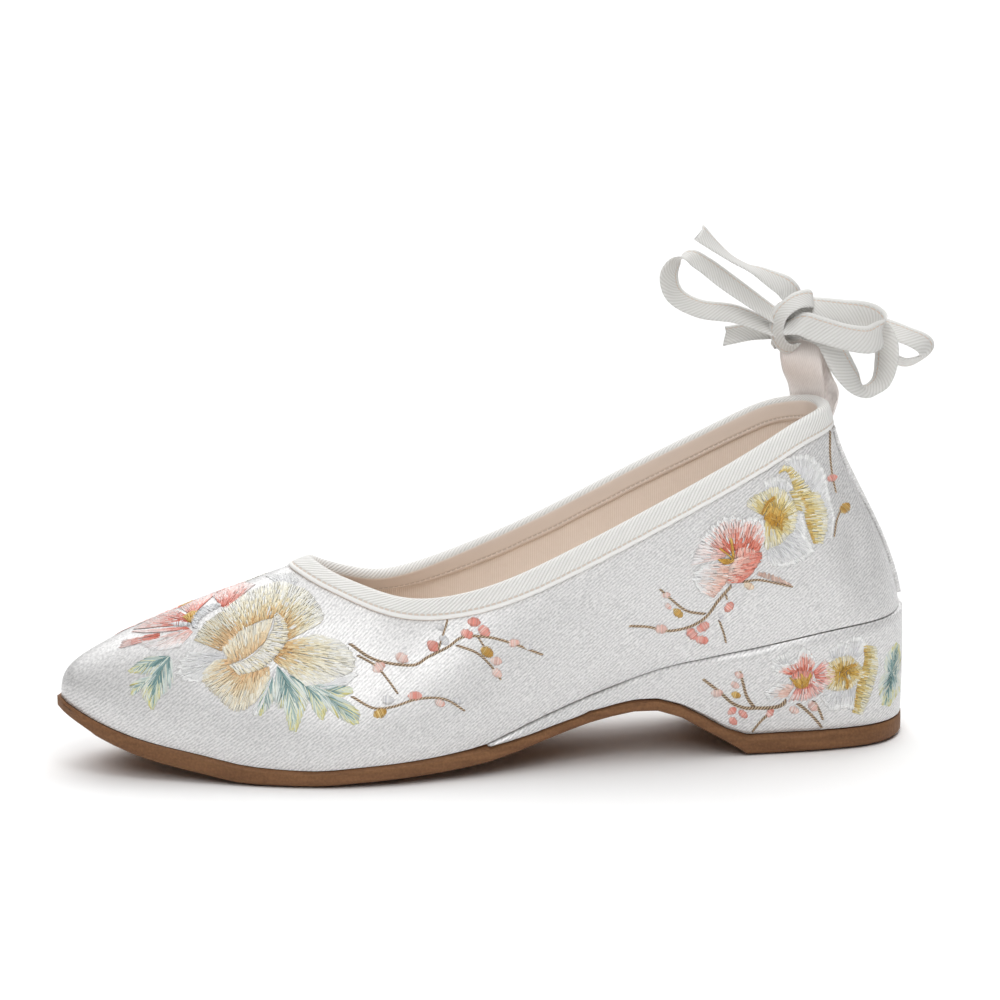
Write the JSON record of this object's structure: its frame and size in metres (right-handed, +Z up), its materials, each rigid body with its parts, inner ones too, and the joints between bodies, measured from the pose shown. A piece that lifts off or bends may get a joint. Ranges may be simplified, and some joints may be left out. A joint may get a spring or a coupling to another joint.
{
  "type": "ballet flat",
  "caption": "Women's left satin ballet flat with floral embroidery, a low covered wedge heel, a bound collar, a heel loop and a ribbon bow at the back.",
  "frame": {"origin": "on the floor, under the middle of the shoe's box without the ribbon", "axes": "+X from toe to heel, -Y to the outer side of the foot, +Z up"},
  "size_m": [0.2592, 0.0772, 0.146],
  "materials": {
    "rubber": "matt brown",
    "satin": "off-white satin with embroidery",
    "lining": "beige ribbed cloth",
    "tape": "white herringbone tape"
  },
  "bodies": {
    "root": {"outsole": "rubber", "heel_wedge": "satin", "upper": "satin", "insole": "lining", "topline_binding": "tape", "back_strip": "satin", "heel_loop": "satin", "bow_knot": "tape", "bow_tie": "tape", "bow_loop_left": "tape", "bow_loop_front": "tape", "bow_loop_hanging": "tape", "bow_loop_far": "tape", "bow_tail_upper": "tape", "bow_tail_lower": "tape"}
  },
  "joints": []
}
